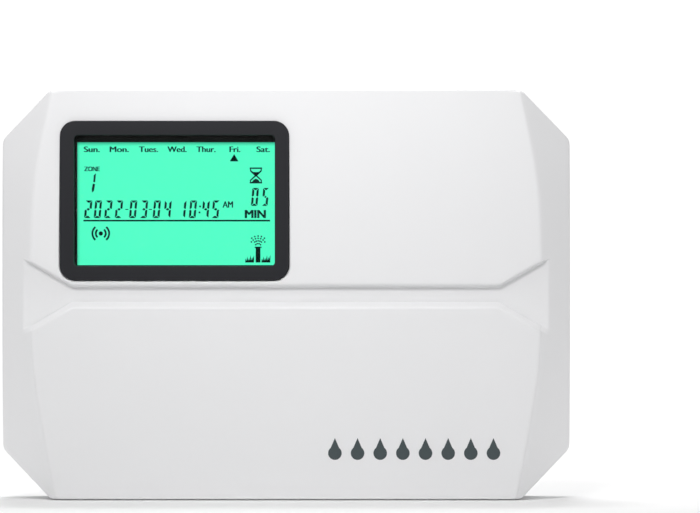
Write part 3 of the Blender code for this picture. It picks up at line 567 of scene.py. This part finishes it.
def ring_points(x, z, radius, grow=0.0, steps=10):
    """Points round a rounded rectangle in the x-z plane, grown outwards by grow."""
    (x0, x1), (z0, z1), points = x, z, []
    for cx, cz, first in ((x1, z1, 0), (x0, z1, 90), (x0, z0, 180), (x1, z0, 270)):
        mx, mz = cx + (radius if cx == x0 else -radius), cz + (radius if cz == z0 else -radius)
        for i in range(steps + 1):
            a = math.radians(first + 90 * i / steps)
            points.append((mx + (radius + grow) * math.cos(a), mz + (radius + grow) * math.sin(a)))
    return points


def lofted(rings, loop=False):
    """Joins rings of (points, y) into a solid; loop closes the last ring back to the first."""
    bm = bmesh.new()
    rows = [[bm.verts.new((px, y, pz)) for px, pz in points] for points, y in rings]
    pairs = list(zip(rows, rows[1:])) + ([(rows[-1], rows[0])] if loop else [])
    for low, high in pairs:
        for i in range(len(low)):
            j = (i + 1) % len(low)
            bm.faces.new((low[i], low[j], high[j], high[i]))
    if not loop:
        bm.faces.new(rows[0])
        bm.faces.new(rows[-1])
    return bm


def hinge_rod(span, radius, sides=32, edge=0.0):
    """Cylinder along the hinge's axis between two x places."""
    return rod((span[0], HINGE_Y, HINGE_Z), (span[1], HINGE_Y, HINGE_Z), radius, sides, edge)


shell = solid("shell", walled(sheet(FACE_COLUMNS + FACET_COLUMNS[1:], BODY_LEVELS, skin_y),
                              SHELL_BACK))
voids = [outline_prism(SHELL_WALL, -33.5 * MM, -20 * MM),
         block((-88 * MM, 88 * MM), (-40 * MM, -30 * MM), (-56 * MM, 60 * MM)),
         block((-80 * MM, 80 * MM), (-47.3 * MM, -30 * MM), (14.5 * MM, 68.5 * MM)),
         block((-80 * MM, 80 * MM), (-44.6 * MM, -30 * MM), (-60 * MM, 20 * MM))]
pocket_levels = [CLEAR_FOOT, -75 * MM] + [z for z in BODY_LEVELS if z < FLOOR_BOTTOM + 0.2 * MM] + \
    [FLOOR_BOTTOM + 0.22 * MM]
voids.append(thickened(
    sheet(FACE_COLUMNS + [2.0], pocket_levels, lambda x, z, level: CLEAR_FRONT, gap=SEAM),
    lambda x, z: face_y(max(z, -HALF_HEIGHT)) + POCKET))
opening_levels = [-68.6 * MM] + [z for z in BODY_LEVELS if -68 * MM < z < -6.3 * MM] + [-6 * MM]
voids.append(thickened(
    sheet(FACE_COLUMNS + [2.0], opening_levels, lambda x, z, level: CLEAR_FRONT, gap=-3.6 * MM),
    lambda x, z: -37 * MM))
voids += [block((-80.48 * MM, 80.48 * MM), (CLEAR_FRONT, HINGE_Y + HINGE_SWING),
                (CLEAR_FOOT, HINGE_Z + HINGE_SWING)),
          block((-81.7 * MM, 81.7 * MM), (-47.3 * MM, HINGE_Y + HINGE_SWING), (CLEAR_FOOT, HINGE_Z))]
voids.append(lofted([(ring_points(BEZEL_X, BEZEL_Z, BEZEL_RADIUS, grow), y * MM)
                     for grow, y in ((2.0 * MM, -51.5), (0.6 * MM, -50.04), (0.25 * MM, -49.7),
                                     (0.06 * MM, -49.2), (0.06 * MM, -40))]))
worked(shell, [solid("void", bm) for bm in voids])
knuckles = []
for x in KNUCKLES:
    span = (x - 4.6 * MM, x + 4.6 * MM)
    arm_back, arm_top = HINGE_Y + HINGE_SWING + SHELL_WALL, HINGE_Z + KNUCKLE_RADIUS
    knuckles += [hinge_rod(span, KNUCKLE_RADIUS, edge=0.2 * MM),
                 block(span, (HINGE_Y, arm_back), (HINGE_Z + 0.35 * MM, arm_top)),
                 block(span, (HINGE_Y + HINGE_SWING, arm_back), (-HALF_HEIGHT + 0.05 * MM, arm_top))]
worked(shell, [solid("knuckle", bm) for bm in knuckles], "UNION")
worked(shell, [solid("pin_hole", hinge_rod((x - 6 * MM, x + 6 * MM), PIN_HOLE_RADIUS, 20)) for x in KNUCKLES])
publish("front_shell_skin", taken(shell), white_plastic, "housing", "white_shell", 34, "front_shell",
        finished=False)


# ================================================================ lower door
# The lower panel, its top edge cut at 45 degrees as the groove's foot, turning on two hidden
# knuckles. Known fault: the finished piece's faces point inwards, and the hinge notches come
# out as loose blocks instead of cuts.
FOOT_CURVE, DOOR_THICKNESS, CATCH_TOP = -71.4 * MM, 2.5 * MM, -9.7 * MM


def door_front(x, z, level):
    """The skin's depth, easing back along the door's foot."""
    return skin_y(x, z, level) + max(0.0, FOOT_CURVE - level) ** 2 * 1.1 / MM


door_levels = [-71.95 * MM, -71.8 * MM, -71.6 * MM, FOOT_CURVE] + \
    [z for z in BODY_LEVELS if -71.3 * MM < z < FLOOR_BOTTOM] + [FLOOR_BOTTOM, FLOOR_BOTTOM + 0.18 * MM]
door = solid("door", thickened(sheet(FACE_COLUMNS + [2.0], door_levels, door_front),
                               lambda x, z: face_y(z) + DOOR_THICKNESS))
extras = [hinge_rod((-76 * MM, 76 * MM), 2.94 * MM, 48)]
catch_front = face_y(CATCH_TOP) + 1.5 * MM
extras += [block((x - 3 * MM, x + 3 * MM), (catch_front, catch_front + 5 * MM),
                 (CATCH_TOP - 2 * MM, CATCH_TOP), 0.5 * MM) for x in KNUCKLES]
worked(door, [solid("extra", bm) for bm in extras], "UNION")
notches = []
for x in KNUCKLES:
    span = (x - 4.95 * MM, x + 4.95 * MM)
    notches += [hinge_rod(span, KNUCKLE_RADIUS + 0.35 * MM),
                block(span, (HINGE_Y, HINGE_Y + HINGE_SWING),
                      (HINGE_Z - HINGE_SWING, HINGE_Z + HINGE_SWING)),
                hinge_rod((x - 10.5 * MM, x + 10.5 * MM), PIN_HOLE_RADIUS, 20)]
worked(door, [solid("notch", bm) for bm in notches])
publish("lower_door_skin", taken(door), white_plastic, "door", "white_door", 34, "lower_door",
        finished=False)


# ================================================================ rear housing
# The tray screwed to the wall: the same outline in light grey plastic, its back edge bevelled,
# with the CAD's posts, keyholes and cable slot kept by trimming a copy of the CAD shape.
grey_plastic = surface("grey_plastic", (0.62, 0.63, 0.64), 0.5, grain=0.06, cloud=0.015)
outline = sorted({z for z in BODY_LEVELS if abs(z) < HALF_HEIGHT - 1.2 * MM})
trim_rings = []
for inset, y in ((1.1, -0.02), (0.5, -0.35), (0.15, -0.95), (0.05, -1.6), (0.05, -23.98)):
    heights = [-HALF_HEIGHT + inset * MM] + outline + [HALF_HEIGHT - inset * MM]
    half = [(outline_half(z, inset * MM), z) for z in heights]
    trim_rings.append((half + [(-x, z) for x, z in reversed(half)], y * MM))
housing_trim = solid("housing_trim", lofted(trim_rings))
source = bmesh.new()
source.from_mesh(frame["nodes"]["rear_housing"].data)
source.transform(frame["nodes"]["rear_housing"].matrix_world)
bmesh.ops.remove_doubles(source, verts=source.verts, dist=1e-6)
housing = worked(solid("housing", source), [housing_trim], "INTERSECT")
publish("rear_housing_skin", taken(housing), grey_plastic, "housing", "grey_rear", 34, "rear_housing")


# ================================================================ display frame
# Charcoal satin frame around the display, pressed into the shell from the front, with a
# softened outer edge and a straight inner wall down to the black surround of the display.
charcoal = surface("charcoal_plastic", (0.0105, 0.011, 0.0145), 0.5, grain=0.05, cloud=0.05,
                   Specular_IOR_Level=0.3)
OPEN_X, OPEN_Z, OPEN_RADIUS = (-74.3 * MM, -3.9 * MM), (9.9 * MM, 55.9 * MM), 1.5 * MM
FRAME_RINGS = ((1, 0, -45.5), (1, 0, -50.1), (1, -0.08, -50.3), (1, -0.26, -50.4),
               (0, 0.22, -50.4), (0, 0.06, -50.33), (0, 0, -50.15), (0, 0, -47.6),
               (0, 3.4, -47.6), (0, 3.4, -45.5))
publish("display_frame", lofted(
    [(ring_points(BEZEL_X if outer else OPEN_X, BEZEL_Z if outer else OPEN_Z,
                  BEZEL_RADIUS if outer else OPEN_RADIUS, grow * MM), y * MM)
     for outer, grow, y in FRAME_RINGS], loop=True),
    charcoal, "housing", "dark_frame", 40, "display_bezel")


# ================================================================ display
# A lit panel behind a thin clear window: mint backlight with a soft shadow from the frame
# along its top and left edges, and black where the panel's own border shows.
clear_window, _ = new_material("clear_window", (1, 1, 1), 0.02, Transmission_Weight=1.0, IOR=1.15)
publish("display_window_pane", block((-75.6 * MM, -2.6 * MM), (-47.3 * MM, -45.8 * MM),
                                     (8.6 * MM, 57.2 * MM), 1.5 * MM, edge=0.1 * MM),
        clear_window, "housing", "clear_window", 35, "display_window")
LCD_X, LCD_Z = (-73.4 * MM, -3.7 * MM), (10.2 * MM, 53.5 * MM)
MINT = (0.075, 1.0, 0.57)
lcd_panel, shader = new_material("lcd_panel", (0.01, 0.01, 0.01), 0.5, Emission_Strength=1.0,
                                 Specular_IOR_Level=0.15)
tree = lcd_panel.node_tree
place = Wire(tree).node("TexCoord", "Object")
across = place.node("SeparateXYZ", "X", {0: place})
up = place.node("SeparateXYZ", "Z", {0: place})


def fade(distance, reach):
    """Nought at an edge rising smoothly to one at a distance from it."""
    return distance.node("MapRange", 0, {0: distance, 1: 0.0, 2: reach, 3: 0.0, 4: 1.0},
                         interpolation_type="SMOOTHSTEP")


BORDER = 0.12 * MM
lit = fade(LCD_Z[1] - up, BORDER) * fade(up - LCD_Z[0], BORDER) * fade(across - LCD_X[0], BORDER)
shade = (fade(LCD_Z[1] + 0.2 * MM - up, 1.9 * MM) * 0.55 + 0.45) * \
    (fade(across - LCD_X[0] + 0.2 * MM, 1.6 * MM) * 0.4 + 0.6)
level = lit * shade
glow = level.node("CombineColor", 0, {0: level * MINT[0], 1: level * MINT[1], 2: level * MINT[2]})
tree.links.new(glow.socket, shader.inputs["Emission Color"])
publish("lcd_panel", block((-76.5 * MM, -1.7 * MM), (-45 * MM, -43 * MM), (7.7 * MM, 58.1 * MM),
                           edge=0.1 * MM), lcd_panel, "housing", "lcd_green", 35, "lcd_glass")


# ================================================================ display figures
# The dark segments of the display: week days, zone, date, time, minutes and small pictures,
# all thin flat shapes lying on the panel and joined as one piece. Places are in millimetres.
INK_Y = (-45.07 * MM, -45.01 * MM)


def plate(points):
    """A thin flat shape on the panel from its corners in millimetres."""
    bm = bmesh.new()
    bm.faces.new([bm.verts.new((px * MM, INK_Y[0], pz * MM)) for px, pz in points])
    return thickened(bm, lambda x, z: INK_Y[1])


def lettering(text, x, z, weight=0.24):
    """Words fitted into a box of x and z limits in millimetres, struck twice for weight."""
    curve = bpy.data.curves.new("words", "FONT")
    curve.body, curve.extrude = text, 0.02
    obj = bpy.data.objects.new("words", curve)
    scene.collection.objects.link(obj)
    bpy.context.view_layer.update()
    data = bpy.data.meshes.new_from_object(obj.evaluated_get(bpy.context.evaluated_depsgraph_get()))
    bpy.data.objects.remove(obj)
    bm = bmesh.new()
    bm.from_mesh(data)
    bpy.data.meshes.remove(data)
    bmesh.ops.remove_doubles(bm, verts=bm.verts, dist=1e-5)
    low = [min(v.co[i] for v in bm.verts) for i in range(3)]
    high = [max(v.co[i] for v in bm.verts) for i in range(3)]
    for v in bm.verts:
        share = [(v.co[i] - low[i]) / (high[i] - low[i]) for i in range(3)]
        v.co = Vector(((x[0] + share[0] * (x[1] - x[0] - weight)) * MM,
                       INK_Y[1] + share[2] * (INK_Y[0] - INK_Y[1]),
                       (z[0] + share[1] * (z[1] - z[0])) * MM))
    second = bm.copy()
    bmesh.ops.translate(second, verts=second.verts, vec=(weight * MM, 0.003 * MM, 0))
    return gathered(bm, second)


SEGMENTS = {"0": "abcdef", "1": "bc", "2": "abdeg", "3": "abcdg", "4": "bcfg", "5": "acdfg"}


def digit(figure, left, width, low, high):
    """Bars of one seven-segment figure, with mitred ends and a slight slope."""
    bar, slant, air = 0.76, 0.09, 0.13
    mid, cut, right = (low + high) / 2, bar * 0.62, left + width
    bars = {"a": [(left + air, high), (right - air, high), (right - air - bar, high - bar),
                  (left + air + bar, high - bar)],
            "d": [(left + air, low), (left + air + bar, low + bar), (right - air - bar, low + bar),
                  (right - air, low)],
            "g": [(left + cut + air, mid), (left + cut + air + bar / 2, mid + bar / 2),
                  (right - cut - air - bar / 2, mid + bar / 2), (right - cut - air, mid),
                  (right - cut - air - bar / 2, mid - bar / 2),
                  (left + cut + air + bar / 2, mid - bar / 2)]}
    for key, x, sign in (("f", left, 1), ("b", right, -1)):
        bars[key] = [(x, high - air), (x, mid + air * 2), (x + sign * cut * 0.6, mid + air),
                     (x + sign * bar, mid + air * 2 + 0.2), (x + sign * bar, high - air - bar)]
    for key, x, sign in (("e", left, 1), ("c", right, -1)):
        bars[key] = [(x, low + air), (x, mid - air * 2), (x + sign * cut * 0.6, mid - air),
                     (x + sign * bar, mid - air * 2 - 0.2), (x + sign * bar, low + air + bar)]
    return [plate([(px + (pz - low) * slant, pz) for px, pz in bars[key]]) for key in SEGMENTS[figure]]


def arc(cx, cz, radius, width, first, last, steps=14):
    """A curved band about a centre, between two angles in degrees."""
    turns = [math.radians(first + (last - first) * i / steps) for i in range(steps + 1)]
    outer, inner = radius + width / 2, radius - width / 2
    return plate([(cx + outer * math.cos(a), cz + outer * math.sin(a)) for a in turns] +
                 [(cx + inner * math.cos(a), cz + inner * math.sin(a)) for a in reversed(turns)])


def dot(cx, cz, radius, steps=20):
    """A round spot."""
    return plate([(cx + radius * math.cos(2 * math.pi * i / steps),
                   cz + radius * math.sin(2 * math.pi * i / steps)) for i in range(steps)])


def bar(x0, z0, x1, z1):
    """An upright rectangle between two corners."""
    return plate([(x0, z0), (x1, z0), (x1, z1), (x0, z1)])


figures = [lettering(text, x, (50.0, 51.97)) for text, x in (
    ("Sun.", (-71.1, -65.4)), ("Mon.", (-62.0, -55.2)), ("Tues.", (-51.7, -44.9)),
    ("Wed.", (-41.7, -34.9)), ("Thur.", (-31.5, -24.7)), ("Fri.", (-19.9, -16.0)),
    ("Sat.", (-10.4, -5.6)))]
figures += [lettering("ZONE", (-71.0, -65.4), (43.3, 44.9), 0.3),
            lettering("AM", (-22.3, -18.6), (30.5, 32.7), 0.2),
            lettering("MIN", (-14.5, -7.05), (26.8, 29.65), 0.4)]
figures.append(plate([(-19.75, 46.75), (-16.7, 46.75), (-18.22, 49.3)]))
# The zone's number, then date and time, the minutes, and the rule under them.
figures += [plate([(-67.9, 38.95), (-67.1, 38.75), (-67.5, 36.4), (-68.2, 35.8), (-68.25, 37.2)]),
            plate([(-67.75, 39.5), (-67.1, 39.35), (-66.8, 42.6), (-67.55, 41.8)])]
for figure, left in (("2", -71.0), ("0", -67.6), ("2", -63.9), ("2", -60.2), ("0", -55.2),
                     ("3", -51.4), ("0", -46.9), ("4", -43.1), ("1", -37.9), ("0", -34.2),
                     ("4", -29.7), ("5", -26.2)):
    figures += digit(figure, left, 2.4, 26.8, 33.0)
figures += digit("0", -12.35, 2.3, 31.1, 37.4) + digit("5", -8.55, 2.05, 31.1, 37.4)
figures += [bar(-56.5, 29.7, -55.4, 30.0), bar(-48.2, 29.7, -47.1, 30.0),
            bar(-30.7, 28.5, -30.1, 29.1), bar(-30.5, 30.6, -29.9, 31.2),
            bar(-71.2, 25.62, -5.6, 26.2)]
# The hourglass: two bars, two sides, and sand above and below.
figures += [plate([(-12.75, 44.6), (-8.40, 44.6), (-8.40, 44.1), (-12.75, 44.1)]),
            plate([(-12.75, 39.0), (-12.75, 39.5), (-8.40, 39.5), (-8.40, 39.0)]),
            plate([(-12.65, 44.1), (-12.25, 44.1), (-12.25, 43.6), (-10.25, 41.95), (-10.25, 41.6),
                   (-10.90, 41.6), (-12.65, 43.3)]),
            plate([(-8.50, 44.1), (-8.90, 44.1), (-8.90, 43.6), (-10.85, 41.95), (-10.85, 41.6),
                   (-10.25, 41.6), (-8.50, 43.3)]),
            plate([(-11.95, 43.0), (-9.25, 43.0), (-10.55, 41.8)]),
            plate([(-12.65, 39.5), (-12.25, 39.5), (-12.25, 40.0), (-10.55, 41.5), (-10.85, 41.9),
                   (-12.65, 40.2)]),
            plate([(-8.50, 39.5), (-8.90, 39.5), (-8.90, 40.0), (-10.55, 41.5), (-10.25, 41.9),
                   (-8.50, 40.2)]),
            plate([(-11.95, 39.5), (-9.20, 39.5), (-9.65, 40.2), (-10.55, 40.7), (-11.45, 40.2)])]
# The radio mark, then the sprinkler with grass on both sides and its spray of drops.
figures += [dot(-65.1, 21.4, 0.75)] + [arc(-65.1, 21.4, radius, 0.66, mid - 50, mid + 50)
                                      for radius in (1.75, 2.95) for mid in (0, 180)]
figures += [bar(-10.65, 11.2, -9.0, 16.3), bar(-11.0, 16.3, -8.6, 16.75)]
GROUND, BLADES = 11.2, (1.5, 2.1, 1.6, 2.6, 2.0, 2.7)
for left, drift in ((-14.2, 0.09), (-8.5, 0.15)):
    for i, tall in enumerate(BLADES):
        root, lean = left + 0.25 + i * 0.46, 0.35 * (i - 2.5) / 2.5
        figures.append(plate([(root - 0.4, GROUND), (root + 0.4, GROUND),
                              (root + lean + drift, GROUND + tall)]))
for i in range(7):
    lean = math.radians(-57 + 19 * i)
    skip = 1 if 0 < i < 6 else 2
    for radius in (1.0, 1.9, 2.8, 3.6)[i % 2::skip]:
        figures.append(dot(-9.8 + radius * math.sin(lean), 16.9 + radius * math.cos(lean), 0.3, 8))
ink, _ = new_material("display_ink", (0.003, 0.026, 0.022), 0.7, Specular_IOR_Level=0.05)
publish("display_figures", gathered(*figures), ink, "housing", "dark_frame", 30)


# ================================================================ printed drops
# Eight plain water drops printed on the lower panel, where a generic mark belongs: a thin
# coat of slate ink that follows the panel's gentle crown.
def drop(cx, low, high):
    """Outline of a water drop in millimetres: a round foot drawn up to a point."""
    radius = (high - low) * 0.31
    middle, points = low + radius, []
    for i in range(25):
        a = math.radians(-232 + 284 * i / 24)
        points.append((cx + radius * math.cos(a), middle + radius * math.sin(a)))
    points.append((cx, high))
    return points


DROP_START, DROP_PITCH, DROP_FOOT, DROP_TOP = 17.2, 7.95, -58.1, -50.4
drops = []
for i in range(8):
    bm = bmesh.new()
    outline = drop(DROP_START + i * DROP_PITCH, DROP_FOOT, DROP_TOP)
    bm.faces.new([bm.verts.new((px * MM, 0, pz * MM)) for px, pz in outline])
    bmesh.ops.triangulate(bm, faces=bm.faces)
    thickened(bm, lambda x, z: 0.08 * MM)
    for v in bm.verts:
        v.co.y += face_y(v.co.z) - 0.03 * MM
    drops.append(bm)
slate_ink, _ = new_material("slate_ink", (0.045, 0.062, 0.067), 0.5)
publish("printed_drops", gathered(*drops), slate_ink, "door", "dark_frame", 30)


# ================================================================ parts inside
# Every other part: the deck, keys, terminals and board behind the door, what holds and lights
# the display, and the fasteners. Each keeps the CAD's shape with its edges softened.
FINISHES = {
    "inner_white": surface("inner_plastic", (0.70, 0.70, 0.69), 0.5, grain=0.05),
    "key_grey": surface("key_rubber", (0.16, 0.17, 0.18), 0.55, grain=0.08),
    "terminal_green": surface("terminal_plastic", (0.03, 0.22, 0.07), 0.4, grain=0.03),
    "tab_orange": surface("tab_plastic", (0.75, 0.16, 0.02), 0.4, grain=0.03),
    "board_green": surface("board_mask", (0.015, 0.11, 0.045), 0.3, cloud=0.08),
    "light_panel": surface("light_panel", (0.75, 0.75, 0.72), 0.5),
    "copper_flex": surface("ribbon_film", (0.42, 0.16, 0.04), 0.35),
    "rubber_black": surface("rubber", (0.02, 0.02, 0.02), 0.7, grain=0.15),
    "black_part": surface("black_parts", (0.015, 0.015, 0.016), 0.45),
    "nickel": surface("nickel", (0.55, 0.54, 0.5), 0.3, Metallic=1.0),
    "steel": surface("screw_steel", (0.45, 0.46, 0.48), 0.32, Metallic=1.0)}
SLOTS = {row["node"]: row["material_slot"] for row in frame["record"]["subparts"]}
shown_already = {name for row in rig.table()["pieces"] for name in row.get("replaces", ())}
for node, slot_name in sorted(SLOTS.items()):
    if node not in shown_already:
        softened(node, FINISHES[slot_name], slot_name)


# ================================================================ stage, light and camera
# A pale floor just under the controller, a surround that is dimmer below and white behind it,
# a weak light from the front and a broad one from above, and a long lens looking straight on.
floor_paint, _ = new_material("floor_paint", (0.93, 0.93, 0.93), 0.9, Specular_IOR_Level=0.1)
floor_top = -HALF_HEIGHT - 0.3 * MM
floor = solid("floor", block((-0.3, 0.3), (-0.19, 0.19), (floor_top - 12 * MM, floor_top)))
floor.data.materials.append(floor_paint)
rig.stage(floor)

world = bpy.data.worlds.new("studio")
scene.world = world
world.use_nodes = True
sky = world.node_tree
back = next(n for n in sky.nodes if n.type == "BACKGROUND")
way = Wire(sky).node("TexCoord", "Generated")
sideways = way.node("SeparateXYZ", "X", {0: way})
ahead = way.node("SeparateXYZ", "Y", {0: way})
above = way.node("SeparateXYZ", "Z", {0: way})
behind = ahead.node("MapRange", 0, {0: ahead, 1: 0.85, 2: 0.97, 3: 0.0, 4: 1.0})
front = above * 0.34 + 0.42 + sideways.maths("ABSOLUTE") * 0.03
strength = front + behind * (1.05 - front)
tone = strength.node("CombineColor", 0, {0: strength, 1: strength, 2: strength})
sky.links.new(tone.socket, back.inputs["Color"])

for name, place, size, power, spread, aim in (
        ("front_light", (-0.10, -0.68, 0.52), 0.3, 0.34, 38, (-0.01, -0.05, 0.17)),
        ("top_light", (0.0, 0.6, 1.2), 0.35, 7.6, 180, (0, 0.0, -0.07))):
    lamp = bpy.data.lights.new(name, "AREA")
    lamp.size, lamp.energy, lamp.spread = size, power, math.radians(spread)
    holder = bpy.data.objects.new(name, lamp)
    scene.collection.objects.link(holder)
    holder.location = place
    holder.rotation_euler = (Vector(aim) - Vector(place)).to_track_quat("-Z", "Y").to_euler()
    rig.stage(holder)

distance, image_width = 2.5, 245.6 * MM
lens = bpy.data.cameras.new("camera")
lens.sensor_width, lens.lens, lens.clip_end = 36.0, 36.0 * distance / image_width, 20.0
camera = bpy.data.objects.new("camera", lens)
scene.collection.objects.link(camera)
camera.location = (22.5 * MM, -DEPTH - distance, 13.3 * MM)
camera.rotation_euler = (math.pi / 2, 0, 0)
scene.camera = camera
scene.view_settings.view_transform = "Standard"

with open("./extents.json", "w") as report:
    json.dump({"cad": [list(c) for c in cad_size], "shown": [list(c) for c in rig.bounds()]}, report)
